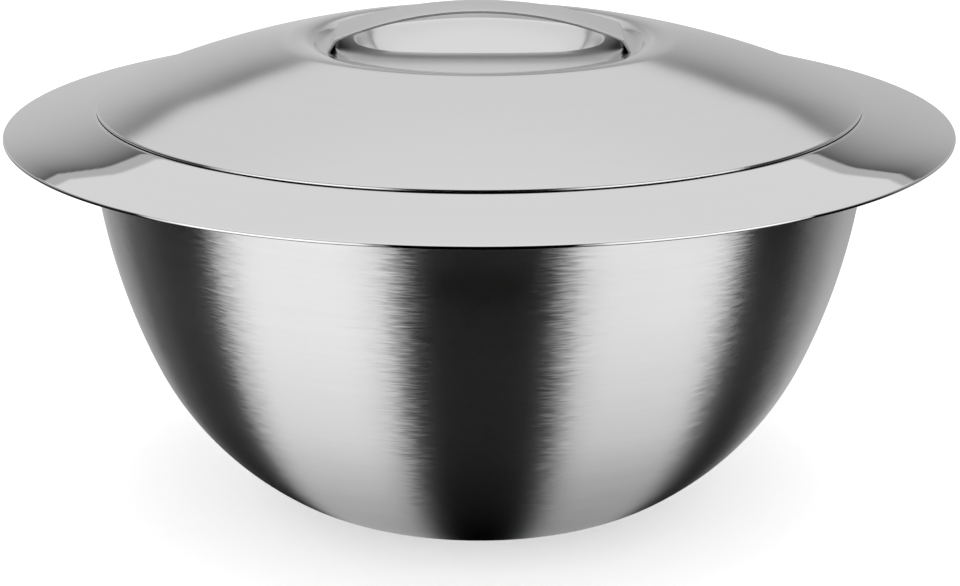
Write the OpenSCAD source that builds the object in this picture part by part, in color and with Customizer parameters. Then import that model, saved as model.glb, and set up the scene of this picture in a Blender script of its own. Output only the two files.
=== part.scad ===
// A double-walled stainless bowl with a wide polished rim, and its double-walled domed lid.
// Every piece is pressed or spun sheet. The origin is on the table, at the middle of the base.

/* [Sheet] */
// Thickness of the steel sheet
sheet = 0.8; // [0.6:0.05:1.1]
// Air space between the bowl's two walls
air_gap = 8; // [6:0.5:11]

/* [Bowl] */
// Radius of the flat base
base_r = 47; // [40:1:56]
// Radius of the turn from the base to the wall
corner_r = 60; // [50:1:70]
// Radius of the lower wall's curve
lower_wall_r = 112; // [100:1:124]
// Radius of the upper wall's flatter curve
upper_wall_r = 225; // [205:1:250]
// Steepness at which the turn ends, down from level, in degrees
corner_end_a = 56; // [52:0.5:60]
// Steepness at which the lower wall ends, down from level, in degrees
lower_end_a = 24; // [21:0.5:27]

/* [Rim] */
// Width of the sloping rim, from the seat's fold to the edge
rim_w = 31.9; // [26:0.1:45]
// Drop from the seat to the rim's edge
rim_drop = 7.3; // [5:0.1:10]
// Height of the level seat that the lid stands on
seat_z = 148.3; // [146:0.1:151]
// Distance that the level seat runs out past the start of the outer wall's bend
seat_over = 0.65; // [0.4:0.05:3]
// Radius of the roll from the wall over to the seat
mouth_round = 2.5; // [1.6:0.1:3.2]
// Radius of the bend from the seat down to the rim
seat_fold_r = 3; // [2:0.1:4]
// Width of the hem folded back under the edge
hem_w = 5; // [3:0.5:8]
// Level land at the rim's edge
edge_land = 1.5; // [1:0.1:3]
// Space between the end of the outer wall's weld lip and the mouth's roll
weld_lip_gap = 0.9; // [0.5:0.1:3]
// Radius of the bend from the outer wall to the weld lip
lip_bend_r = 2.2; // [1.5:0.1:2.8]

/* [Lid] */
// Radius of the dome's curve
dome_r = 345; // [330:1:365]
// Radius of the rounding at the lid's edge
lid_edge_r = 1; // [0.9:0.05:1.3]
// Upright part of the lid's edge
lid_edge_h = 0.2; // [0.1:0.05:0.5]
// Distance that the plug wall reaches down into the mouth
plug_h = 10; // [7:0.5:13]
// Radius of the plug's lower bend
plug_round = 4; // [2.5:0.5:6]
// Radius of the bend between plug and flat rim
plug_bend_r = 2.8; // [2:0.1:3.4]
// Rise of the liner's middle over its plug
liner_rise = 5; // [3:0.5:7]
// Radius of the hollow sweep outside the liner's crown
liner_sweep_r = 370; // [300:10:450]

/* [Grip recess] */
// Radius where the dome begins to roll in
shoulder_r = 72; // [70:0.5:75]
// Radius of that roll
shoulder_roll_r = 23; // [20:0.5:26]
// Steepness at which the roll ends, in degrees
shoulder_end_a = 18; // [14:0.5:21]
// Radius of the bend down into the collar
collar_bend_r = 1.2; // [1:0.1:2]
// Height of the collar round the dome's hole
collar_h = 3; // [2.4:0.1:4]
// Distance from the dome's crown down to the crest of the ring round the recess
ring_drop = 7.2; // [6.6:0.1:8]
// Radius of the ring's crest about the axis
ring_crest_r = 44.7; // [40:0.1:48]
// Radius of the ring's own gentle crown
ring_crown_r = 110; // [90:5:150]
// Radius of the rounding at the ring's outer edge
ring_edge_r = 0.9; // [0.85:0.05:1.2]
// Distance from the dome's crown down to the recess's floor
recess_depth = 22; // [18:0.5:25]
// Half length of the recess, along the bridge
recess_half_l = 45.4; // [43:0.2:46]
// Half width of the recess, across the bridge
recess_half_w = 34; // [31:0.2:38]
// Radius of the recess's long sides
recess_side_r = 70; // [62:0.5:85]
// Radius of the rolled lip
recess_lip_r = 1.6; // [1.2:0.1:2.2]
// Steepness of the recess's wall where it meets the lip, in degrees
recess_wall_a = 62; // [52:1:72]

/* [Bridge] */
// Thickness of the bridge
bridge_t = 1; // [0.8:0.05:1.5]
// Rise of the bridge over the dome's crown
bridge_rise = 4.2; // [3.6:0.1:6]
// Space between the bridge's underside and the ring at the bridge's ends
bridge_under_gap = 0.3; // [0.2:0.05:1]
// Width of the bridge at its middle
bridge_mid_w = 22.5; // [18:0.5:28]
// Width of the bridge at its ends
bridge_end_w = 35; // [30:0.5:36]
// Space between each turned-down end and the collar round the recess
foot_gap = 5.25; // [4:0.05:7]
// Outer radius of the bend at each end
bridge_bend_r = 1.8; // [1.4:0.1:2.4]
// Distance from the dome's crown down to the floor of each foot's pocket
pocket_depth = 9.8; // [9.3:0.1:10.5]
// Radius of the pocket's inner side
pocket_side_r = 94; // [85:1:105]
// Space between the bridge's foot and the pocket's inner side
foot_side_gap = 0.4; // [0.2:0.05:0.8]

/* [Fits] */
// Space under the lid's edge
seat_gap = 0.3; // [0.2:0.05:0.5]
// Space round the plug
plug_gap = 0.8; // [0.6:0.05:1.2]
// Space round the recess's collar
collar_gap = 0.15; // [0.1:0.05:0.25]
// Space round the liner's edge
liner_gap = 0.15; // [0.1:0.05:0.3]

/* [Hidden] */
$fn = 96;

// Overrun for every cut
over = 40;
// Longest step along a drawn arc, in degrees and in length
step_a = 12;
step_l = 7;
brushed = [0.62, 0.62, 0.63];
polished = [0.80, 0.80, 0.81];
satin = [0.72, 0.72, 0.73];

// Centres of the wall's three curves, each one tangent to the next
corner_c = [base_r, corner_r];
lower_c = polar(corner_c, lower_wall_r - corner_r, 180 - corner_end_a);
upper_c = polar(lower_c, upper_wall_r - lower_wall_r, 180 - lower_end_a);

// Depths in from the bowl's outer face
inner_out = sheet + air_gap;
inner_in = inner_out + sheet;

// Where the inner wall ends and rolls over to the seat
mouth_a = asin((upper_c[1] - seat_z + mouth_round) / (upper_wall_r - inner_in + mouth_round));
mouth_c = polar(upper_c, upper_wall_r - inner_in + mouth_round, -mouth_a);
mouth_r = mouth_c[0] - mouth_round;

// Where the outer wall ends and turns in to its weld lip
lip_z = seat_z - sheet;
lip_a = asin((upper_c[1] - lip_z + lip_bend_r) / (upper_wall_r - lip_bend_r));
lip_c = polar(upper_c, upper_wall_r - lip_bend_r, -lip_a);

// The rim: a bend down from the seat, then a hollow sweep out to the level edge
seat_r = lip_c[0] + seat_over;
rim_r = seat_r + rim_w;
rim_z = seat_z - rim_drop;
lid_r = seat_r - lid_edge_r;
lid_z = seat_z + seat_gap;
rim_run = rim_w - edge_land;
rim_a = 2 * atan(rim_drop / rim_run);
rim_sweep_r = rim_run / sin(rim_a) - seat_fold_r;
seat_fold_c = [seat_r, seat_z - seat_fold_r];
rim_c = [rim_r - edge_land, rim_z + rim_sweep_r];
hem_a = asin((hem_w - edge_land) / (rim_sweep_r + sheet));

// The dome's curve, tangent to the rounding at the lid's edge
lid_edge_c = [lid_r - lid_edge_r, lid_z + lid_edge_h];
dome_c = [0, lid_edge_c[1] - leg(dome_r - lid_edge_r, lid_edge_c[0])];
dome_a = asin((lid_edge_c[1] - dome_c[1]) / (dome_r - lid_edge_r));
crown_z = dome_c[1] + dome_r;

// The dome's roll-in round the grip, and its collar
shoulder_a = acos(shoulder_r / dome_r);
shoulder_c = polar(dome_c, dome_r - shoulder_roll_r, shoulder_a);
roll_end_a = 90 + shoulder_end_a;
collar_c = polar(shoulder_c, shoulder_roll_r - collar_bend_r, roll_end_a);
hole_r = collar_c[0] - collar_bend_r;
collar_z = collar_c[1] - collar_h;

// The liner's edge, where the dome's underside comes down to it, its plug and its crown
liner_r = leg(dome_r - sheet, lid_z + sheet + liner_gap - dome_c[1]);
plug_r = mouth_r - plug_gap;
plug_c = [plug_r + plug_bend_r, lid_z - plug_bend_r];
plug_z = lid_z - plug_h;
plug_round_c = [plug_r - plug_round, plug_z + plug_round];
liner_a = 2 * atan(liner_rise / plug_round_c[0]);
liner_crown_r = plug_round_c[0] / sin(liner_a) - liner_sweep_r;
liner_sweep_c = [plug_round_c[0], plug_z + liner_sweep_r];
liner_crown_c = [0, plug_z + liner_rise - liner_crown_r];

// The recess: a gently crowned ring inside the dome's collar, and the well inside the ring
cup_r = hole_r - collar_gap;
ring_c = [ring_crest_r, crown_z - ring_drop - ring_crown_r];
cup_edge_c = [cup_r - ring_edge_r,
    ring_c[1] + leg(ring_crown_r - ring_edge_r, cup_r - ring_edge_r - ring_crest_r)];
cup_a = asin((cup_edge_c[1] - ring_c[1]) / (ring_crown_r - ring_edge_r));
floor_z = crown_z - recess_depth;
lip_top_z = crown_z - ring_drop;
recess_floor_r = (lip_top_z - floor_z) / (1 - cos(recess_wall_a)) - recess_lip_r;
wall_run = (recess_floor_r + recess_lip_r) * sin(recess_wall_a);
side_shift = recess_side_r - recess_half_w;
pocket_z = crown_z - pocket_depth;

// The bridge: an arch, a bend at each end and a foot down to the pocket
bridge_l = 2 * (hole_r - foot_gap);
pocket_in = bridge_l / 2 - bridge_t - foot_side_gap;
ring_end_z = ring_c[1] + leg(ring_crown_r, bridge_l / 2 - ring_crest_r);
bridge_arch = crown_z + bridge_rise - ring_end_z - bridge_under_gap - bridge_t;
bridge_r = (bridge_l * bridge_l / 4 + bridge_arch * bridge_arch) / (2 * bridge_arch);
bridge_c = [0, crown_z + bridge_rise - bridge_r];
bridge_a = acos((bridge_l / 2 - bridge_bend_r) / (bridge_r - bridge_bend_r));
bridge_bend_c = polar(bridge_c, bridge_r - bridge_bend_r, bridge_a);
waist = (bridge_end_w - bridge_mid_w) / 2;
waist_r = (bridge_l * bridge_l / 4 + waist * waist) / (2 * waist);

function polar(c, r, a) = [c[0] + r * cos(a), c[1] + r * sin(a)];
// The other short side of a right triangle with this long side
function leg(long, short) = sqrt(long * long - short * short);

// Points along an arc round c, after its first one
function arc(c, r, a_from, a_to) =
    let (
        turn = abs(a_to - a_from),
        n = ceil(max(turn / step_a, r * turn * PI / 180 / step_l))
    )
    [for (i = [1:n]) polar(c, r, a_from + (a_to - a_from) * i / n)];
function reversed(line) = [for (i = [len(line) - 1:-1:0]) line[i]];

// A strip of sheet, drawn along both of its faces
module strip(face, back) {
    polygon(concat(face, reversed(back)));
}

// The bowl's wall at depth d in from its outer face, up to end_a
function wall_line(d, end_a) = concat(
    [[0, d], [base_r, d]],
    arc(corner_c, corner_r - d, -90, -corner_end_a),
    arc(lower_c, lower_wall_r - d, -corner_end_a, -lower_end_a),
    arc(upper_c, upper_wall_r - d, -lower_end_a, -end_a)
);

// The outer wall at depth d, turned in at its top to a lip under the seat
function outer_line(d) = concat(
    wall_line(d, lip_a),
    arc(lip_c, lip_bend_r - d, -lip_a, 90),
    [[mouth_c[0] + weld_lip_gap, lip_z - d]]
);

// The inner bowl's upper face: wall, roll, seat, fold, rim and land, then round under the hem
function rim_face() = concat(
    wall_line(inner_in, mouth_a),
    arc(mouth_c, mouth_round, 180 - mouth_a, 90),
    [[seat_r, seat_z]],
    arc(seat_fold_c, seat_fold_r, 90, 90 - rim_a),
    arc(rim_c, rim_sweep_r, -90 - rim_a, -90),
    [[rim_r - sheet, rim_z]],
    arc([rim_r - sheet, rim_z - sheet], sheet, 90, -90),
    [[rim_c[0], rim_z - 2 * sheet]],
    arc(rim_c, rim_sweep_r + 2 * sheet, -90, -90 - hem_a)
);

// The inner bowl's hidden face, as far as the hem's end
function rim_back() = concat(
    wall_line(inner_out, mouth_a),
    arc(mouth_c, mouth_round - sheet, 180 - mouth_a, 90),
    [[seat_r, seat_z - sheet]],
    arc(seat_fold_c, seat_fold_r - sheet, 90, 90 - rim_a),
    arc(rim_c, rim_sweep_r + sheet, -90 - rim_a, -90 - hem_a)
);

// The dome at depth d, from its edge up to the collar round the grip
function dome_line(d) = concat(
    [[lid_r - d, lid_z], [lid_r - d, lid_edge_c[1]]],
    arc(lid_edge_c, lid_edge_r - d, 0, dome_a),
    arc(dome_c, dome_r - d, dome_a, shoulder_a),
    arc(shoulder_c, shoulder_roll_r - d, shoulder_a, roll_end_a),
    arc(collar_c, collar_bend_r - d, roll_end_a, 180),
    [[hole_r + d, collar_z]]
);

// The liner at depth d in from its lower face: flat rim, plug, and a crown that sheds drops outward
function liner_line(d) = concat(
    [[liner_r, lid_z + d], [plug_c[0], lid_z + d]],
    arc(plug_c, plug_bend_r + d, 90, 180),
    [[plug_r - d, plug_round_c[1]]],
    arc(plug_round_c, plug_round - d, 0, -90),
    arc(liner_sweep_c, liner_sweep_r - d, -90, -90 - liner_a),
    arc(liner_crown_c, liner_crown_r + d, 90 - liner_a, 90)
);

// The recess's ring at depth d, from its collar in over its crest to half way across the well
function cup_line(d) = concat(
    [[cup_r - d, collar_z], [cup_r - d, cup_edge_c[1]]],
    arc(cup_edge_c, ring_edge_r - d, 0, cup_a),
    arc(ring_c, ring_crown_r - d, cup_a, 90 + asin(ring_crest_r / 2 / ring_crown_r))
);

// The strap at depth d, from foot to foot
function strap_line(d) = concat(
    [[bridge_l / 2 - d, pocket_z], [bridge_l / 2 - d, bridge_bend_c[1]]],
    arc(bridge_bend_c, bridge_bend_r - d, 0, bridge_a),
    arc(bridge_c, bridge_r - d, bridge_a, 180 - bridge_a),
    arc([-bridge_bend_c[0], bridge_bend_c[1]], bridge_bend_r - d, 180 - bridge_a, 180),
    [[d - bridge_l / 2, pocket_z]]
);

module outer_shell() {
    color(brushed) rotate_extrude() strip(outer_line(0), outer_line(sheet));
}

module inner_shell() {
    color(polished) rotate_extrude() strip(rim_face(), rim_back());
}

module lid_dome() {
    color(satin) rotate_extrude() strip(dome_line(0), dome_line(sheet));
}

module lid_liner() {
    color(satin) rotate_extrude() strip(liner_line(0), liner_line(sheet));
}

// A round dish whose curved wall meets a rolled lip, with the lip's top at radius r, grown by d
module well(r, d) {
    rotate_extrude() polygon(concat(
        [[0, floor_z - d], [r - wall_run, floor_z - d]],
        arc([r - wall_run, floor_z + recess_floor_r], recess_floor_r + d, -90, recess_wall_a - 90),
        arc([r, lip_top_z - recess_lip_r], recess_lip_r - d, recess_wall_a + 90, 90),
        [[r, lip_top_z + over], [0, lip_top_z + over]]
    ));
}

// The recess's well: a long oval where a round well and two flatter ones meet
module recess_well(d) {
    intersection() {
        well(recess_half_l, d);
        translate([0, side_shift, 0]) well(recess_side_r, d);
        translate([0, -side_shift, 0]) well(recess_side_r, d);
    }
}

// The crescent pocket that the bridge's foot stands in, open out to the collar, grown by d
module foot_pocket(d) {
    difference() {
        translate([0, 0, pocket_z - d]) cylinder(r = cup_r, h = pocket_depth);
        translate([pocket_in - pocket_side_r, 0, pocket_z - over])
            cylinder(r = pocket_side_r - d, h = 2 * over);
    }
}

// All that is open in the recess, grown by d
module recess_void(d) {
    recess_well(d);
    foot_pocket(d);
    mirror([1, 0, 0]) foot_pocket(d);
}

// The pressed recess: a shoulder under the dome's hole, the well and two foot pockets
module grip_cup() {
    color(polished) difference() {
        union() {
            rotate_extrude() strip(cup_line(0), cup_line(sheet));
            intersection() {
                recess_void(sheet);
                rotate_extrude() polygon(concat(
                    cup_line(0),
                    [[0, crown_z - ring_drop], [0, floor_z - over], [cup_r, floor_z - over]]
                ));
            }
        }
        recess_void(0);
    }
}

// The strap that spans the recess, waisted at its middle, with a turned-down foot at each end
module grip_bridge() {
    color(satin) difference() {
        translate([0, bridge_end_w / 2, 0]) rotate([90, 0, 0])
            linear_extrude(bridge_end_w) strip(strap_line(0), strap_line(bridge_t));
        for (side = [-1, 1])
            translate([0, side * (bridge_mid_w / 2 + waist_r), floor_z])
                cylinder(r = waist_r, h = recess_depth + over);
    }
}

outer_shell();
inner_shell();
lid_dome();
lid_liner();
grip_cup();
grip_bridge();
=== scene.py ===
"""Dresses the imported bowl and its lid: brushed and polished sheet steel under soft studio light."""
import math

import bmesh
import bpy
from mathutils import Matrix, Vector


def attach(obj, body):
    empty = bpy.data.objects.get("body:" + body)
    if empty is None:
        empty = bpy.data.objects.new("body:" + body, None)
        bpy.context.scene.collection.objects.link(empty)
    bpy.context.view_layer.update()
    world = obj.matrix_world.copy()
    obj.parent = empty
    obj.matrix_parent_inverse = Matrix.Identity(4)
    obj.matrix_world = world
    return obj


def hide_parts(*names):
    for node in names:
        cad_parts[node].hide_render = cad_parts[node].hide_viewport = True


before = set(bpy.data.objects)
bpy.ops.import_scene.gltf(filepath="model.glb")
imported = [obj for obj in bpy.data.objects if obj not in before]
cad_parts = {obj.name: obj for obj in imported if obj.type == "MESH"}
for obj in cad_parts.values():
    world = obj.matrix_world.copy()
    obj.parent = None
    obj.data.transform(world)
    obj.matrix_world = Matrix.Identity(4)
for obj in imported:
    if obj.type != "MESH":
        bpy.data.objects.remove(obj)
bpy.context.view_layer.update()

MM = 0.001
TURNS = 288                  # steps round the axis
RECESS_TURNS = 360           # steps round the recess
ARC_STEP, SMALL_ARC = 3.0, 30.0   # degrees between points on an arc, and the radius below which that holds
ARC_LEN = 2.2                # most millimetres between points on any arc
SHARP = math.radians(28)
TUCK = 0.02                  # keeps the drawn edges just inside the solid's

# Forms that the scene draws more closely than the solids, in millimetres and degrees
RIM_FOLD_A, RIM_EDGE_A = 12.0, 16.0    # slopes at which the rim leaves its fold and reaches its edge
RIM_STEPS, HEM_SPARE = 24, 1.3         # steps down the rim, and how far its hidden face runs past the hem's end
LEG_X, LEG_A = 50.6, 30.0    # where the strap's ends bend down, and how far they splay from upright
STRAP_EDGE, EDGE_STEPS = 0.35, 4       # radius of the strap's broken edges, and steps round each
STRAP_STEPS = 96             # steps along the strap's arch
SHADED_UNDERSIDE_Z = -0.35          # a face of the strap that looks down more than this is its underside, which gets painted shade
CREST_BACK = 4.0             # how far outside the lip the ring's crest may lie
CORNER_EASE = 5.0            # length over which the recess's corners are eased
LIP_LIFT = 0.02              # the lip's height over the ring
SEAM_FILL, SEAM_FILL_MIN = 1.2, 0.02   # the ground weld round the recess, and what is left of it over a pocket
SEAM_REACH = 2.6             # how far the ground weld goes over the dome's roll
SEAM_LIFT, SEAM_SINK = 0.012, 0.03     # the weld's height over the roll, and how far it sinks by its end
POCKET_WALL_R = 58.3         # where a foot pocket's floor meets its sloped outer wall
POCKET_LEAD, POCKET_MIN = 0.5, 0.6     # where the ring stops short of a pocket, and a pocket's least floor
POCKET_END, POCKET_SHUT, POCKET_OPEN = 1.3, 0.6, 2.2   # how a pocket narrows to nothing at the seam
# A pocket's inner edge: how far past its side, and the share of its depth
POCKET_INNER = [(-0.25, 0.03), (-0.1, 0.14), (-0.02, 0.45), (0.05, 0.8), (0.18, 0.96), (0.4, 1.0)]
# A pocket's outer wall: the share of the way to the seam, and the share of the climb
POCKET_OUTER = [(0.06, 0.04), (0.15, 0.16), (0.45, 0.52), (0.7, 0.86), (0.8, 0.96), (0.9, 0.995), (1.0, 1.0)]
DISH_INSET = 0.6             # how far inside the lip the recess's satin finish starts
# Steps across the recess's floor, up its wall, over its lip and across its ring, and round the strap's bend
FLOOR_STEPS, WALL_STEPS, LIP_STEPS, RING_STEPS, BEND_STEPS = 8, 20, 10, 8, 10

# Sizes in millimetres, as in the part's source
SHEET = 0.8
AIR_GAP = 8.0
BASE_R = 47.0
CORNER_R, LOWER_WALL_R, UPPER_WALL_R = 60.0, 112.0, 225.0
CORNER_END, LOWER_END = 56.0, 24.0
RIM_W, RIM_DROP = 31.9, 7.3
SEAT_Z, SEAT_OVER = 148.3, 0.65
MOUTH_ROUND, SEAT_FOLD_R = 2.5, 3.0
HEM_W = 5.0
WELD_LIP_GAP, LIP_BEND_R = 0.9, 2.2
DOME_R = 345.0
LID_EDGE_R, LID_EDGE_H = 1.0, 0.2
PLUG_H, PLUG_ROUND, PLUG_BEND_R = 10.0, 4.0, 2.8
LINER_RISE, LINER_SWEEP_R = 5.0, 370.0
SHOULDER_R, SHOULDER_ROLL_R, SHOULDER_END = 72.0, 23.0, 18.0
COLLAR_BEND_R, COLLAR_H = 1.2, 3.0
RECESS_DEPTH = 22.0
RING_DROP, RING_CREST_R, RING_CROWN_R = 7.2, 44.7, 110.0
RECESS_HALF_L, RECESS_HALF_W, RECESS_SIDE_R = 45.4, 34.0, 70.0
RECESS_LIP_R, RECESS_WALL = 1.6, 62.0
BRIDGE_T, BRIDGE_RISE, BRIDGE_UNDER_GAP = 1.0, 4.2, 0.3
BRIDGE_MID_W, BRIDGE_END_W, BRIDGE_BEND_R = 22.5, 35.0, 1.8
POCKET_DEPTH, POCKET_SIDE_R = 9.8, 94.0
FOOT_GAP, FOOT_SIDE_GAP = 5.25, 0.4
SEAT_GAP, PLUG_GAP, LINER_GAP = 0.3, 0.8, 0.15


def sind(a):
    return math.sin(math.radians(a))


def cosd(a):
    return math.cos(math.radians(a))


def polar(c, r, a):
    return (c[0] + r * cosd(a), c[1] + r * sind(a))


def leg(long, short):
    return math.sqrt(long * long - short * short)


def arc(c, r, a_from, a_to):
    """Points along an arc, after its first one."""
    turn = abs(a_to - a_from)
    n = max(2, math.ceil(max(turn / ARC_STEP if r < SMALL_ARC else 0, r * math.radians(turn) / ARC_LEN)))
    return [polar(c, r, a_from + (a_to - a_from) * i / n) for i in range(1, n + 1)]


def asind(v):
    return math.degrees(math.asin(v))


def acosd(v):
    return math.degrees(math.acos(v))


# The curves' centres, found as in the part's source
corner_c = (BASE_R, CORNER_R)
lower_c = polar(corner_c, LOWER_WALL_R - CORNER_R, 180 - CORNER_END)
upper_c = polar(lower_c, UPPER_WALL_R - LOWER_WALL_R, 180 - LOWER_END)
inner_out = SHEET + AIR_GAP
inner_in = inner_out + SHEET
mouth_a = asind((upper_c[1] - SEAT_Z + MOUTH_ROUND) / (UPPER_WALL_R - inner_in + MOUTH_ROUND))
mouth_c = polar(upper_c, UPPER_WALL_R - inner_in + MOUTH_ROUND, -mouth_a)
mouth_r = mouth_c[0] - MOUTH_ROUND
lip_z = SEAT_Z - SHEET
lip_a = asind((upper_c[1] - lip_z + LIP_BEND_R) / (UPPER_WALL_R - LIP_BEND_R))
lip_c = polar(upper_c, UPPER_WALL_R - LIP_BEND_R, -lip_a)
seat_r = lip_c[0] + SEAT_OVER
RIM_R = seat_r + RIM_W
RIM_Z = SEAT_Z - RIM_DROP
LID_R = seat_r - LID_EDGE_R
lid_z = SEAT_Z + SEAT_GAP
seat_fold_c = (seat_r, SEAT_Z - SEAT_FOLD_R)
rim_edge_c = (RIM_R - SHEET - TUCK, RIM_Z - SHEET)
lid_edge_c = (LID_R - LID_EDGE_R, lid_z + LID_EDGE_H)
dome_c = (0.0, lid_edge_c[1] - leg(DOME_R - LID_EDGE_R, lid_edge_c[0]))
dome_a = asind((lid_edge_c[1] - dome_c[1]) / (DOME_R - LID_EDGE_R))
crown_z = dome_c[1] + DOME_R
shoulder_a = acosd(SHOULDER_R / DOME_R)
shoulder_c = polar(dome_c, DOME_R - SHOULDER_ROLL_R, shoulder_a)
roll_end = 90 + SHOULDER_END
collar_c = polar(shoulder_c, SHOULDER_ROLL_R - COLLAR_BEND_R, roll_end)
hole_r = collar_c[0] - COLLAR_BEND_R
collar_z = collar_c[1] - COLLAR_H
liner_r = leg(DOME_R - SHEET, lid_z + SHEET + LINER_GAP - dome_c[1])
plug_r = mouth_r - PLUG_GAP
plug_c = (plug_r + PLUG_BEND_R, lid_z - PLUG_BEND_R)
plug_z = lid_z - PLUG_H
plug_round_c = (plug_r - PLUG_ROUND, plug_z + PLUG_ROUND)
liner_a = 2 * math.degrees(math.atan(LINER_RISE / plug_round_c[0]))
liner_crown_r = plug_round_c[0] / sind(liner_a) - LINER_SWEEP_R
liner_sweep_c = (plug_round_c[0], plug_z + LINER_SWEEP_R)
liner_crown_c = (0.0, plug_z + LINER_RISE - liner_crown_r)
ring_c = (RING_CREST_R, crown_z - RING_DROP - RING_CROWN_R)
floor_z = crown_z - RECESS_DEPTH
pocket_z = crown_z - POCKET_DEPTH
BRIDGE_L = 2 * (hole_r - FOOT_GAP)
POCKET_IN = BRIDGE_L / 2 - BRIDGE_T - FOOT_SIDE_GAP
ring_end_z = ring_c[1] + leg(RING_CROWN_R, BRIDGE_L / 2 - RING_CREST_R)
bridge_arch = crown_z + BRIDGE_RISE - ring_end_z - BRIDGE_UNDER_GAP - BRIDGE_T
BRIDGE_R = (BRIDGE_L ** 2 / 4 + bridge_arch ** 2) / (2 * bridge_arch)
bridge_c = (0.0, crown_z + BRIDGE_RISE - BRIDGE_R)
waist = (BRIDGE_END_W - BRIDGE_MID_W) / 2
waist_r = (BRIDGE_L ** 2 / 4 + waist ** 2) / (2 * waist)


def wall_line(d, end_a):
    return ([(0, d), (BASE_R, d)] + arc(corner_c, CORNER_R - d, -90, -CORNER_END)
            + arc(lower_c, LOWER_WALL_R - d, -CORNER_END, -LOWER_END)
            + arc(upper_c, UPPER_WALL_R - d, -LOWER_END, -end_a))


def outer_line(d):
    return (wall_line(d, lip_a) + arc(lip_c, LIP_BEND_R - d, -lip_a, 90)
            + [(mouth_c[0] + WELD_LIP_GAP, lip_z - d)])


def rim_sweep():
    """The rim's upper face from the fold to the edge, as (radius, height, slope in degrees)."""
    r0, z0 = polar(seat_fold_c, SEAT_FOLD_R, 90 - RIM_FOLD_A)
    r1, z1 = polar(rim_edge_c, SHEET, 90 - RIM_EDGE_A)
    m0, m1 = -math.tan(math.radians(RIM_FOLD_A)) * (r1 - r0), -math.tan(math.radians(RIM_EDGE_A)) * (r1 - r0)
    line = []
    for i in range(RIM_STEPS + 1):
        t = i / RIM_STEPS
        z = ((1 + 2 * t) * (1 - t) ** 2 * z0 + t * (1 - t) ** 2 * m0
             + t * t * (3 - 2 * t) * z1 + t * t * (t - 1) * m1)
        fall = -((6 * t * t - 6 * t) * (z0 - z1) + (1 - t) * (1 - 3 * t) * m0 + t * (3 * t - 2) * m1) / (r1 - r0)
        line.append((r0 + (r1 - r0) * t, z, math.degrees(math.atan(fall))))
    return line


def under(line, d):
    return [polar((r, z), d, -90 - a) for r, z, a in line]


def rim_face():
    line = rim_sweep()
    hem = [q for q in line if q[0] > RIM_R - HEM_W]
    return (wall_line(inner_in, mouth_a) + arc(mouth_c, MOUTH_ROUND, 180 - mouth_a, 90)
            + [(seat_r, SEAT_Z)] + arc(seat_fold_c, SEAT_FOLD_R, 90, 90 - RIM_FOLD_A) + under(line[1:], 0)
            + arc(rim_edge_c, SHEET, 90 - RIM_EDGE_A, -90 - RIM_EDGE_A)
            + under(hem[-2::-1], 2 * SHEET))


def rim_back():
    line = [q for q in rim_sweep() if q[0] < RIM_R - HEM_W + HEM_SPARE]
    return (wall_line(inner_out, mouth_a) + arc(mouth_c, MOUTH_ROUND - SHEET, 180 - mouth_a, 90)
            + [(seat_r, SEAT_Z - SHEET)] + arc(seat_fold_c, SEAT_FOLD_R - SHEET, 90, 90 - RIM_FOLD_A)
            + under(line[1:], SHEET))


def dome_line(d):
    return ([(LID_R - d, lid_z), (LID_R - d, lid_edge_c[1])] + arc(lid_edge_c, LID_EDGE_R - d, 0, dome_a)
            + arc(dome_c, DOME_R - d, dome_a, shoulder_a)
            + arc(shoulder_c, SHOULDER_ROLL_R - d, shoulder_a, roll_end)
            + arc(collar_c, COLLAR_BEND_R - d, roll_end, 180) + [(hole_r + d, collar_z)])


def liner_line(d):
    return ([(liner_r, lid_z + d), (plug_c[0], lid_z + d)] + arc(plug_c, PLUG_BEND_R + d, 90, 180)
            + [(plug_r - d, plug_round_c[1])] + arc(plug_round_c, PLUG_ROUND - d, 0, -90)
            + arc(liner_sweep_c, LINER_SWEEP_R - d, -90, -90 - liner_a)
            + arc(liner_crown_c, liner_crown_r + d, 90 - liner_a, 90))


def mesh_object(name, bm):
    mesh = bpy.data.meshes.new(name)
    bm.to_mesh(mesh)
    bm.free()
    obj = bpy.data.objects.new(name, mesh)
    bpy.context.scene.collection.objects.link(obj)
    return obj


def finish_mesh(name, bm):
    """A closed mesh with its normals out, smooth but for its sharp edges."""
    bmesh.ops.recalc_face_normals(bm, faces=bm.faces[:])
    for f in bm.faces:
        f.smooth = True
    for e in bm.edges:
        if len(e.link_faces) == 2 and e.calc_face_angle() > SHARP:
            e.smooth = False
    return mesh_object(name, bm)


def revolve(name, outline):
    """A closed section turned round Z. Points on the axis become one vertex."""
    bm = bmesh.new()
    rings = []
    for r, z in outline:
        if r < 1e-6:
            rings.append([bm.verts.new((0, 0, z * MM))])
        else:
            rings.append([bm.verts.new((r * MM * math.cos(t), r * MM * math.sin(t), z * MM))
                          for t in (2 * math.pi * i / TURNS for i in range(TURNS))])
    for a, b in zip(rings, rings[1:] + rings[:1]):
        if len(a) == 1 and len(b) == 1:
            continue
        for i in range(TURNS):
            j = (i + 1) % TURNS
            if len(a) == 1:
                bm.faces.new((a[0], b[j], b[i]))
            elif len(b) == 1:
                bm.faces.new((a[i], a[j], b[0]))
            else:
                bm.faces.new((a[i], a[j], b[j], b[i]))
    return finish_mesh(name, bm)


def strip(name, face, back):
    return revolve(name, face + back[::-1])


def smooth(v, lo, hi):
    t = min(1.0, max(0.0, (v - lo) / (hi - lo)))
    return t * t * (3 - 2 * t)


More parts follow.
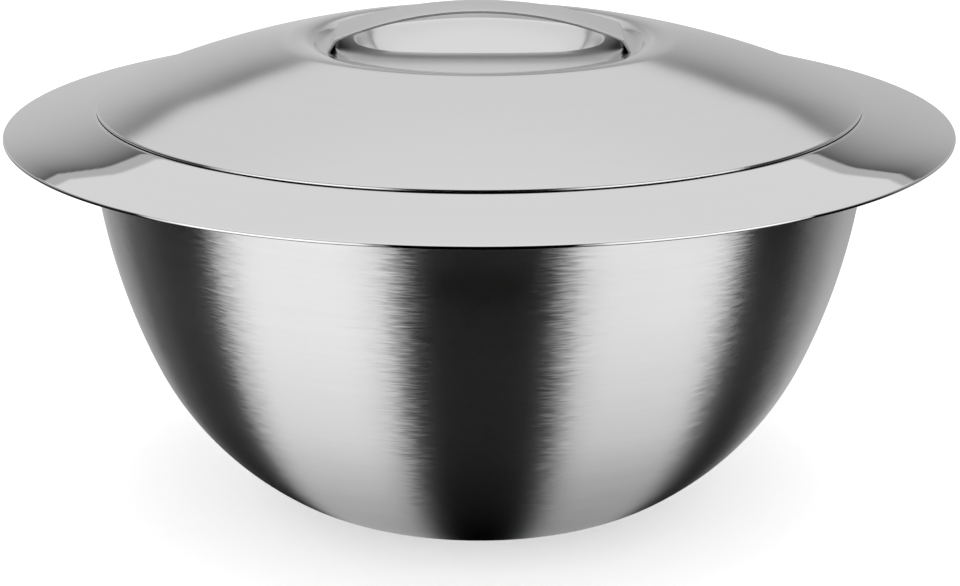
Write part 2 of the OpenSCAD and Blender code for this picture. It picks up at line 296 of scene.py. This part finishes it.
def well_radius(x, y):
    """Plan radius of the recess's lip in the direction (x, y), with its corners eased."""
    shift = RECESS_SIDE_R - RECESS_HALF_W
    along = abs(y) * shift
    side = -along + math.sqrt(along * along + RECESS_SIDE_R ** 2 - shift ** 2)
    gap = max(0.0, 1 - abs(RECESS_HALF_L - side) / CORNER_EASE)
    return min(RECESS_HALF_L, side) - gap * gap * CORNER_EASE / 4


def pocket_radius(x):
    """Plan radius of the foot pocket's inner side in a direction whose x share is x."""
    c = POCKET_IN - POCKET_SIDE_R
    along = abs(x) * c
    return along + math.sqrt(along * along + POCKET_SIDE_R ** 2 - c * c)


def ring_z(r, crest):
    """Height of the ring round the recess, whose crest keeps close to the lip on the long sides."""
    return ring_end_z + leg(RING_CROWN_R, r - crest) - leg(RING_CROWN_R, BRIDGE_L / 2 - crest)


def ground(a, b, k):
    """The higher of two heights, with the valley between them filled over k."""
    h = max(0.0, k - abs(a - b)) / k
    return max(a, b) + h * h * k / 4


def well_line(w, top):
    """The recess's floor, curved wall and rolled lip, from the axis out to the lip's top at radius w."""
    sweep_r = (top - floor_z) / (1 - cosd(RECESS_WALL)) - RECESS_LIP_R
    run = (sweep_r + RECESS_LIP_R) * sind(RECESS_WALL)
    line = [((w - run) * i / FLOOR_STEPS, floor_z) for i in range(1, FLOOR_STEPS + 1)]
    for i in range(1, WALL_STEPS + 1):
        line.append(polar((w - run, floor_z + sweep_r), sweep_r, -90 + RECESS_WALL * i / WALL_STEPS))
    for i in range(1, LIP_STEPS + 1):
        r, z = polar((w, top - RECESS_LIP_R), RECESS_LIP_R, RECESS_WALL + 90 - RECESS_WALL * i / LIP_STEPS)
        line.append((r, z - LIP_LIFT * (i / LIP_STEPS) ** 2))
    return line


def recess_line(t):
    """The pressed recess's upper face in one direction, as (radius, height), from the axis out."""
    x, y = math.cos(t), math.sin(t)
    w = well_radius(x, y)
    crest = min(RING_CREST_R, w + CREST_BACK)
    seam = polar(shoulder_c, SHOULDER_ROLL_R, roll_end)
    p = pocket_radius(x)
    open_share = smooth(seam[0] - POCKET_SHUT - p, 0.0, POCKET_OPEN)
    p = min(p, seam[0] - POCKET_END)
    foot = max(POCKET_WALL_R, p + POCKET_MIN)
    fill = SEAM_FILL_MIN + SEAM_FILL * (1 - open_share)

    def sunk(r, share):
        high = ring_z(r, crest)
        return r, high + (pocket_z - high) * share * open_share

    def top_z(r):
        return ground(ring_z(r, crest), shoulder_c[1] + leg(SHOULDER_ROLL_R, r - shoulder_c[0]), fill)

    line = well_line(w, ring_z(w, crest) + LIP_LIFT)
    line += [sunk(w + (p - POCKET_LEAD - w) * i / RING_STEPS, 0.0) for i in range(1, RING_STEPS + 1)]
    line += [sunk(p + past, share) for past, share in POCKET_INNER]
    floor_r = p + POCKET_INNER[-1][0]
    line += [sunk(floor_r + (foot - floor_r) * share, 1.0) for share in (0.5, 1.0)]
    for share, rise in POCKET_OUTER:
        r = foot + (seam[0] - foot) * share
        high = top_z(r)
        line.append((r, high - (high - pocket_z) * open_share * (1 - rise)))
    for share in (0.2, 0.4, 0.6, 0.8, 1.0):
        r = seam[0] + SEAM_REACH * share
        line.append((r, top_z(r) + SEAM_LIFT - SEAM_SINK * share))
    return line


def recess(name):
    """The pressed recess, with its dish in a finish of its own."""
    bm = bmesh.new()
    turns = [2 * math.pi * i / RECESS_TURNS for i in range(RECESS_TURNS)]
    lines = [recess_line(t) for t in turns]
    rings = [[bm.verts.new((r * MM * math.cos(t), r * MM * math.sin(t), z * MM)) for t, (r, z) in zip(turns, ring)]
             for ring in zip(*lines)]
    centre = bm.verts.new((0, 0, floor_z * MM))
    for i in range(RECESS_TURNS):
        j = (i + 1) % RECESS_TURNS
        bm.faces.new((centre, rings[0][i], rings[0][j]))
        for a, b in zip(rings, rings[1:]):
            bm.faces.new((a[i], b[i], b[j], a[j]))
    for f in bm.faces:
        f.smooth = True
        c = f.calc_center_median() / MM
        r = math.hypot(c.x, c.y)
        f.material_index = 1 if r < 0.1 or r < well_radius(c.x / r, c.y / r) - DISH_INSET else 0
    obj = mesh_object(name, bm)
    thick = obj.modifiers.new("sheet", "SOLIDIFY")
    thick.thickness = SHEET * MM
    thick.offset = -1
    return obj


def strap_path():
    """The strap's upper face from foot to foot, as points and the way out from each."""
    end_a = acosd(LEG_X / BRIDGE_R)
    top = polar(bridge_c, BRIDGE_R - TUCK, end_a)
    bend_c = polar(top, -BRIDGE_BEND_R, end_a)
    low = polar(bend_c, BRIDGE_BEND_R, LEG_A)
    run = (low[1] - pocket_z) / cosd(LEG_A)
    foot = [((low[0] + run * sind(LEG_A) * s, low[1] - run * cosd(LEG_A) * s), (cosd(LEG_A), sind(LEG_A)))
            for s in (1.0, 0.5)]
    for i in range(BEND_STEPS + 1):
        a = LEG_A + (end_a - LEG_A) * i / BEND_STEPS
        foot.append((polar(bend_c, BRIDGE_BEND_R, a), (cosd(a), sind(a))))
    arch = []
    for i in range(1, STRAP_STEPS):
        a = end_a + (180 - 2 * end_a) * i / STRAP_STEPS
        arch.append((polar(bridge_c, BRIDGE_R - TUCK, a), (cosd(a), sind(a))))
    return foot + arch + [((-x, z), (-nx, nz)) for (x, z), (nx, nz) in reversed(foot)]


def strap_section(half):
    """The strap's section with broken edges, as (sideways, depth), for this half width."""
    inner = half - STRAP_EDGE
    deep = BRIDGE_T - STRAP_EDGE
    section = []
    for corner, (y, d) in enumerate(((inner, STRAP_EDGE), (inner, deep), (-inner, deep), (-inner, STRAP_EDGE))):
        for k in range(EDGE_STEPS + 1):
            a = 90 * (corner + k / EDGE_STEPS)
            section.append((y + STRAP_EDGE * sind(a), d - STRAP_EDGE * cosd(a)))
    return section


def strap(name):
    """The bridge: its section follows the arch, and its underside is coloured near black as painted shade."""
    bm = bmesh.new()
    rings = []
    for (x, z), (nx, nz) in strap_path():
        half = BRIDGE_MID_W / 2 + waist_r - math.sqrt(waist_r ** 2 - x * x)
        rings.append([bm.verts.new(((x - nx * d) * MM, y * MM, (z - nz * d) * MM)) for y, d in strap_section(half)])
    n = len(rings[0])
    for a, b in zip(rings, rings[1:]):
        for i in range(n):
            bm.faces.new((a[i], a[(i + 1) % n], b[(i + 1) % n], b[i]))
    bm.faces.new(rings[0])
    bm.faces.new(rings[-1])
    bm.normal_update()
    obj = finish_mesh(name, bm)
    # faces that look down take the second slot, the painted shade
    for f in obj.data.polygons:
        f.material_index = 1 if f.normal.z < SHADED_UNDERSIDE_Z else 0
    return obj


def add_node(tree, kind, inputs=(), **props):
    """A node with its properties set, and its inputs linked or given their values."""
    node = tree.nodes.new(kind)
    for k, v in props.items():
        setattr(node, k, v)
    for k, v in dict(inputs).items():
        if isinstance(v, bpy.types.NodeSocket):
            tree.links.new(v, node.inputs[k])
        else:
            node.inputs[k].default_value = v
    return node


class Nodes:
    """Short hand for building a material's node tree."""

    def __init__(self, name):
        self.mat = bpy.data.materials.new(name)
        self.mat.use_nodes = True
        self.tree = self.mat.node_tree
        self.shader = self.tree.nodes["Principled BSDF"]

    def add(self, kind, inputs=(), **props):
        return add_node(self.tree, kind, inputs, **props)

    def math(self, op, a, b=0.0, c=0.0):
        return self.add("ShaderNodeMath", {0: a, 1: b, 2: c}, operation=op).outputs[0]

    def noise(self, vector, scale, detail, rough):
        return self.add("ShaderNodeTexNoise", {"Vector": vector, "Scale": scale, "Detail": detail,
                                               "Roughness": rough}).outputs[0]


SCRATCH_ALONG, SCRATCH_ACROSS = 160.0, 2100.0    # scratches per metre, along and across the brushing
BRUSH_TURN = 0.25                                # a quarter turn lays the gloss across the brushing
STRAIGHT_STRETCH, ROUND_STRETCH = 14.0, 9.0      # streaks per metre along the brushing
# Scale, detail and roughness of the noise in the fine streaks, the broad ones, the smudges and the scratches
FINE, BROAD, CLOUD, SCRATCH = (1.0, 4.0, 0.65), (0.22, 3.0, 0.6), (28.0, 3.0, 0.55), (1.0, 1.0, 0.5)


def steel(name, tint, rough, spread, grain, streak, grain_sign=1.0, smudge=0.03, anisotropic=0.0,
          straight=False, scratch=0.0):
    """Bare stainless steel: streaks of the brush round the axis, faint smudges, and fine wear in the gloss."""
    m = Nodes(name)
    place = m.add("ShaderNodeTexCoord").outputs["Object"]
    xyz = m.add("ShaderNodeSeparateXYZ", {0: place}).outputs
    if straight:
        across = m.math("MULTIPLY", xyz[1], grain)
        line = m.add("ShaderNodeCombineXYZ", {0: m.math("MULTIPLY", xyz[0], STRAIGHT_STRETCH),
                                              1: across, 2: 0.0}).outputs[0]
    else:
        flat = m.add("ShaderNodeCombineXYZ", {0: xyz[0], 1: xyz[1], 2: 0.0}).outputs[0]
        radius = m.add("ShaderNodeVectorMath", {0: flat}, operation="LENGTH").outputs["Value"]
        along = m.math("MULTIPLY_ADD", radius, grain_sign, xyz[2])
        line = m.add("ShaderNodeCombineXYZ", {0: m.math("MULTIPLY", xyz[0], ROUND_STRETCH),
                                              1: m.math("MULTIPLY", xyz[1], ROUND_STRETCH),
                                              2: m.math("MULTIPLY", along, grain)}).outputs[0]
    fine = m.noise(line, *FINE)
    broad = m.noise(line, *BROAD)
    cloud = m.noise(place, *CLOUD)
    worn = m.math("MULTIPLY_ADD", m.math("SUBTRACT", cloud, 0.5), smudge, rough)
    gloss = m.math("MULTIPLY_ADD", m.math("SUBTRACT", fine, 0.5), spread, worn)
    m.tree.links.new(gloss, m.shader.inputs["Roughness"])
    shade = m.math("MULTIPLY_ADD", m.math("SUBTRACT", broad, 0.5), streak, 1.0)
    colour = m.add("ShaderNodeVectorMath", {0: tuple(tint), "Scale": shade}, operation="SCALE").outputs[0]
    m.tree.links.new(colour, m.shader.inputs["Base Color"])
    m.shader.inputs["Metallic"].default_value = 1.0
    if scratch:
        short = m.add("ShaderNodeCombineXYZ", {0: m.math("MULTIPLY", xyz[0], SCRATCH_ALONG),
                                               1: m.math("MULTIPLY", xyz[1], SCRATCH_ALONG),
                                               2: m.math("MULTIPLY", along, SCRATCH_ACROSS)}).outputs[0]
        tilt = m.math("MULTIPLY", m.math("SUBTRACT", m.noise(short, *SCRATCH), 0.5), scratch)
        side = m.add("ShaderNodeVectorMath", {0: flat, 1: (0.0, 0.0, 1.0)}, operation="CROSS_PRODUCT").outputs[0]
        unit = m.add("ShaderNodeVectorMath", {0: side}, operation="NORMALIZE").outputs[0]
        turn = m.add("ShaderNodeVectorMath", {0: unit, "Scale": tilt}, operation="SCALE").outputs[0]
        face = m.add("ShaderNodeNewGeometry").outputs["Normal"]
        bent = m.add("ShaderNodeVectorMath", {0: face, 1: turn}, operation="ADD").outputs[0]
        normal = m.add("ShaderNodeVectorMath", {0: bent}, operation="NORMALIZE").outputs[0]
        m.tree.links.new(normal, m.shader.inputs["Normal"])
    if anisotropic:
        m.shader.inputs["Anisotropic"].default_value = anisotropic
        m.shader.inputs["Anisotropic Rotation"].default_value = BRUSH_TURN
        tangent = m.add("ShaderNodeTangent", direction_type="RADIAL", axis="Z")
        m.tree.links.new(tangent.outputs[0], m.shader.inputs["Tangent"])
    return m.mat


brushed = steel("brushed_wall", (0.90, 0.90, 0.905), 0.33, 0.10, 2400.0, 0.05, grain_sign=0.6,
                anisotropic=1.0, scratch=0.085)
mirror = steel("polished_rim", (0.93, 0.93, 0.935), 0.02, 0.012, 900.0, 0.02, smudge=0.015)
satin = steel("satin_lid", (0.86, 0.86, 0.865), 0.14, 0.03, 1100.0, 0.03, grain_sign=-1.0)
satin_strap = steel("satin_strap", (0.84, 0.84, 0.85), 0.42, 0.05, 900.0, 0.04, smudge=0.05, straight=True)
ring_polish = steel("polished_ring", (0.80, 0.80, 0.81), 0.21, 0.04, 1000.0, 0.04, smudge=0.05)
# painted shade: the strap's underside is near black, standing in for the shade beneath the strap as the recess
# reflects it; the real strap is the same bare steel
painted_shade_strap = steel("strap_underside_painted_shade", (0.13, 0.13, 0.135), 0.35, 0.05, 900.0, 0.05, straight=True)
dish_satin = steel("satin_dish", (0.91, 0.91, 0.915), 0.22, 0.05, 1000.0, 0.03, smudge=0.06)

pieces = [
    (strip("wall", outer_line(0), outer_line(SHEET)), "outer_shell", "bowl", "brushed_wall", [brushed]),
    (strip("inner_bowl", rim_face(), rim_back()), "inner_shell", "bowl", "polished", [mirror]),
    (strip("lid_skin", dome_line(0), dome_line(SHEET)), "lid_dome", "lid", "satin_polish", [satin]),
    (strip("lid_inside", liner_line(0), liner_line(SHEET)), "lid_liner", "lid", "satin_polish", [satin]),
    (recess("grip_recess"), "grip_cup", "lid", "polished", [ring_polish, dish_satin]),
    (strap("grip_strap"), "grip_bridge", "lid", "satin_polish", [satin_strap, painted_shade_strap]),
]
for obj, node, body, slot, materials in pieces:
    for material in materials:
        obj.data.materials.append(material)
    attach(obj, body)
    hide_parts(node)

# The studio: a white floor and sky, and a far tent of soft light and dark cards that only gloss sees
TENT_R = 20.0
FLOOR_HALF = 3.5
WHITE = (1, 1, 1, 1)
FLOOR_TINT, FLOOR_LIFT = (0.80, 0.80, 0.80, 1), 0.46
SOFT_LIGHT = 0.95
LENS, SHIFT_X = 89.85, 0.0008         # camera: millimetres on a 36 mm sensor, and sideways shift
EYE, EYE_DOWN = (0.0, -0.850, 0.3344), 0.297   # its place in metres, and how far it looks down in radians


def ramp(v, stops):
    """A smooth curve through (place, level) stops."""
    if v <= stops[0][0]:
        return stops[0][1]
    for (a, p), (b, q) in zip(stops, stops[1:]):
        if v <= b:
            return p + (q - p) * smooth(v, a, b)
    return stops[-1][1]


VIEW_TILT = 13.0     # how far the photograph looks down, in degrees

# Brightness of the walls' surroundings, by the direction that the wall faces, in degrees to the right
WALL_BANDS = [(-90, 0.66), (-80, 0.48), (-70, 0.22), (-62, 0.06), (-53, 0.012), (-43.3, 0.012), (-40.8, 0.72),
              (-35.5, 1.18), (-20, 1.2), (-14.1, 1.03), (-11.4, 0.3), (-9.7, 0.0), (10.5, 0.0), (12.4, 0.4),
              (15.3, 1.03), (20, 1.14), (36.5, 1.14), (40.4, 0.9), (41.4, 0.005), (53, 0.005), (61, 0.18),
              (71, 0.34), (83, 0.42), (90, 0.52)]
# How it fades where the wall faces down: by the wall's rise, and again on the right by how far it faces down
WALL_FADE = [(-90, 0.0), (-62, 0.0), (-45, 0.05), (-33, 0.26), (-22, 0.77), (-12, 1.0), (90, 1.0)]
RIGHT_FADE = [(0, 1.0), (12, 1.0), (22, 0.88), (28, 0.67), (41, 0.42), (90, 0.42)]
SIDE_KEEP, SIDE_SPAN = 0.7, (48, 66)  # how much of that fade is given back towards the outline, and where
RIGHT_SHIFT, LEFT_SHIFT, LEFT_SLOPE = 0.15, 0.5, 0.03   # how the bands lean outwards lower down
SHIFT_SPAN = (14, 30)
LOW_GAIN, GAIN_SPAN = 22, (54, 70)    # how the outline brightens lower down, and where
# The top edge of the grey cards behind the bowl: degrees away from the middle, degrees above the table
CARD_EDGE = [(0, 23), (6, 23), (12, 23.7), (15, 24.2), (17.8, 24.9), (20.5, 23.7), (24, 25.2), (180, 25.6)]
CARD_GREY, CARD_DARK, CARD_FADE = 0.56, 0.47, 6.0
CARD_STEP, CARD_RIM = 1.7, 0.44       # a lighter strip along the cards' top edge: its width and brightness
CARD_BLUR, STEP_BLUR = 0.2, 0.3       # softness of the cards' top edge and of that strip's
CARD_RIM_SPAN = (10, 13)              # how far from the middle the strip begins
CARD_DIP, DIP_AT, DIP_WIDTH = 0.4, 9, 3       # where the dark under the cards' edge is weaker
CARD_LIFT, LIFT_HALF, LIFT_EASE = 0.06, 10, 4  # the cards are lighter at their middle
CARD_RIGHT = 0.9                      # and darker on the right
TOPS_SPAN = (15, 24)                  # the rise at which a surface stops facing the walls' surroundings
SKY_LOW, SKY_HIGH, SKY_SPAN = 0.70, 0.76, (38, 66)
# A narrow dark gap overhead, by the angle from straight ahead over the top
OVERHEAD = [(143, 1.0), (146, 0.05), (158, 0.05), (162, 1.0)]
TENT_COLS = 720
ROW_STEP, FINE_STEP = 0.6, 0.15       # degrees between the tent's rows, and between those at the cards' edge
FINE_FROM, FINE_TO = 20.4, 28.8       # where the rows are close
ROWS_BELOW, FINE_ROWS, ROWS_ABOVE = 184, 55, 103


def straight_ramp(v, stops):
    """Straight lines through (place, level) stops."""
    for (a, p), (b, q) in zip(stops, stops[1:]):
        if v <= b:
            return p + (q - p) * max(0.0, (v - a) / (b - a))
    return stops[-1][1]


def tent_level(azimuth, elevation):
    """How bright the tent is. Azimuth 0 is behind the camera, and elevation is above the table."""
    x, y, z = cosd(elevation) * sind(azimuth), -cosd(elevation) * cosd(azimuth), sind(elevation)
    # the way a mirror faces that shows this direction to the camera
    facing = Vector((x, y - cosd(VIEW_TILT), z + sind(VIEW_TILT)))
    turn = math.degrees(math.atan2(facing.x, -facing.y))
    rise = math.degrees(math.atan2(facing.z, math.hypot(facing.x, facing.y)))
    low = max(0.0, -rise)
    fade = straight_ramp(rise, WALL_FADE)
    if turn > 0:
        fade *= straight_ramp(low, RIGHT_FADE)
    fade += (1 - fade) * SIDE_KEEP * smooth(abs(turn), *SIDE_SPAN)
    shift = (RIGHT_SHIFT * low * smooth(turn, *SHIFT_SPAN)
             - (LEFT_SHIFT + LEFT_SLOPE * low) * smooth(-turn, *SHIFT_SPAN))
    walls = ramp(turn + shift, WALL_BANDS) * fade * (1 + low / LOW_GAIN * smooth(abs(turn), *GAIN_SPAN))
    off = math.degrees(math.atan2(x, y))
    below = straight_ramp(abs(off), CARD_EDGE) - elevation
    dip = CARD_DIP * math.exp(-((abs(off) - DIP_AT) / DIP_WIDTH) ** 2)
    dark = CARD_DARK * (1 - dip) * math.exp(-max(0.0, below) / CARD_FADE)
    lift = CARD_LIFT * smooth(LIFT_HALF - abs(off), 0, LIFT_EASE)
    card = (CARD_GREY + lift - dark) * (CARD_RIGHT if off > 0 else 1.0)
    above = SKY_LOW + (SKY_HIGH - SKY_LOW) * smooth(elevation, *SKY_SPAN)
    edge_strip = smooth(abs(off), *CARD_RIM_SPAN) * smooth(below, -CARD_STEP - STEP_BLUR, -CARD_STEP + STEP_BLUR)
    above += (CARD_RIM - above) * edge_strip
    tops = above + (card - above) * smooth(below, -CARD_BLUR, CARD_BLUR)
    over = math.degrees(math.atan2(z, y))
    mix = smooth(rise, *TOPS_SPAN)
    return (walls + (tops - walls) * mix) * ramp(over, OVERHEAD)


def emptied(owner):
    """The node tree of a new material or world, without its first nodes."""
    owner.use_nodes = True
    owner.node_tree.nodes.clear()
    return owner.node_tree


def seen_rays(tree, path):
    """1 for camera and glossy rays."""
    return add_node(tree, "ShaderNodeMath", {0: path["Is Camera Ray"], 1: path["Is Glossy Ray"]},
                    operation="MAXIMUM").outputs[0]


def tent():
    bm = bmesh.new()
    layer = bm.verts.layers.float.new("level")
    grid = []
    heights = ([-90 + ROW_STEP * i for i in range(ROWS_BELOW)]
               + [FINE_FROM + FINE_STEP * i for i in range(FINE_ROWS)]
               + [FINE_TO + ROW_STEP * i for i in range(ROWS_ABOVE)])
    for el in heights:
        row = []
        for j in range(TENT_COLS):
            az = -180 + 360 * j / TENT_COLS
            v = bm.verts.new((TENT_R * cosd(el) * sind(az), -TENT_R * cosd(el) * cosd(az), TENT_R * sind(el)))
            v[layer] = tent_level(az, el)
            row.append(v)
        grid.append(row)
    for a, b in zip(grid, grid[1:]):
        for j in range(TENT_COLS):
            k = (j + 1) % TENT_COLS
            bm.faces.new((a[j], b[j], b[k], a[k]))
    obj = mesh_object("tent", bm)
    mat = bpy.data.materials.new("tent")
    tree = emptied(mat)
    level = add_node(tree, "ShaderNodeAttribute", attribute_name="level")
    glow = add_node(tree, "ShaderNodeEmission", {"Strength": level.outputs["Fac"]})
    add_node(tree, "ShaderNodeOutputMaterial", {0: glow.outputs[0]})
    obj.data.materials.append(mat)
    obj.visible_camera = False
    obj.visible_diffuse = False
    obj.visible_shadow = False
    obj.visible_volume_scatter = False
    return obj


def floor():
    """A pale floor, lifted to white for the eye alone so that it keeps the bowl's shadow."""
    bpy.ops.mesh.primitive_circle_add(vertices=96, radius=FLOOR_HALF, fill_type="NGON")
    obj = bpy.context.object
    obj.name = "floor"
    mat = bpy.data.materials.new("floor")
    tree = emptied(mat)
    matt = add_node(tree, "ShaderNodeBsdfDiffuse", {0: FLOOR_TINT})
    path = add_node(tree, "ShaderNodeLightPath").outputs
    lift = add_node(tree, "ShaderNodeMath", {0: seen_rays(tree, path), 1: FLOOR_LIFT}, operation="MULTIPLY")
    glow = add_node(tree, "ShaderNodeEmission", {"Color": WHITE, "Strength": lift.outputs[0]})
    both = add_node(tree, "ShaderNodeAddShader", {0: matt.outputs[0], 1: glow.outputs[0]})
    add_node(tree, "ShaderNodeOutputMaterial", {0: both.outputs[0]})
    obj.data.materials.append(mat)
    obj.visible_glossy = False
    return obj


def sky():
    """White where it is seen, reflected or looked through, and soft light for the rest."""
    world = bpy.data.worlds.new("studio")
    bpy.context.scene.world = world
    tree = emptied(world)
    path = add_node(tree, "ShaderNodeLightPath").outputs
    also = add_node(tree, "ShaderNodeMath", {0: seen_rays(tree, path), 1: path["Is Transmission Ray"]},
                    operation="MAXIMUM")
    white = add_node(tree, "ShaderNodeBackground", {"Color": WHITE, "Strength": 1.0})
    soft = add_node(tree, "ShaderNodeBackground", {"Color": WHITE, "Strength": SOFT_LIGHT})
    mix = add_node(tree, "ShaderNodeMixShader", {0: also.outputs[0], 1: soft.outputs[0], 2: white.outputs[0]})
    add_node(tree, "ShaderNodeOutputWorld", {0: mix.outputs[0]})


def lamp(name, place, size, power):
    data = bpy.data.lights.new(name, "AREA")
    data.shape = "DISK"
    data.size = size
    data.energy = power
    obj = bpy.data.objects.new(name, data)
    obj.location = place
    obj.rotation_euler = (-Vector(place)).to_track_quat("-Z", "Y").to_euler()
    obj.visible_glossy = False
    bpy.context.scene.collection.objects.link(obj)
    return obj


def camera():
    data = bpy.data.cameras.new("camera")
    data.sensor_width = 36.0
    data.lens = LENS
    data.shift_x = SHIFT_X
    obj = bpy.data.objects.new("camera", data)
    obj.location = EYE
    obj.rotation_euler = (math.pi / 2 - EYE_DOWN, 0.0, 0.0)
    data.clip_end = 60.0
    bpy.context.scene.collection.objects.link(obj)
    bpy.context.scene.camera = obj


tent()
floor()
sky()
lamp("key", place=(0.1, -0.3, 2.2), size=2.6, power=20.0)
camera()
bpy.context.scene.view_settings.view_transform = "Standard"
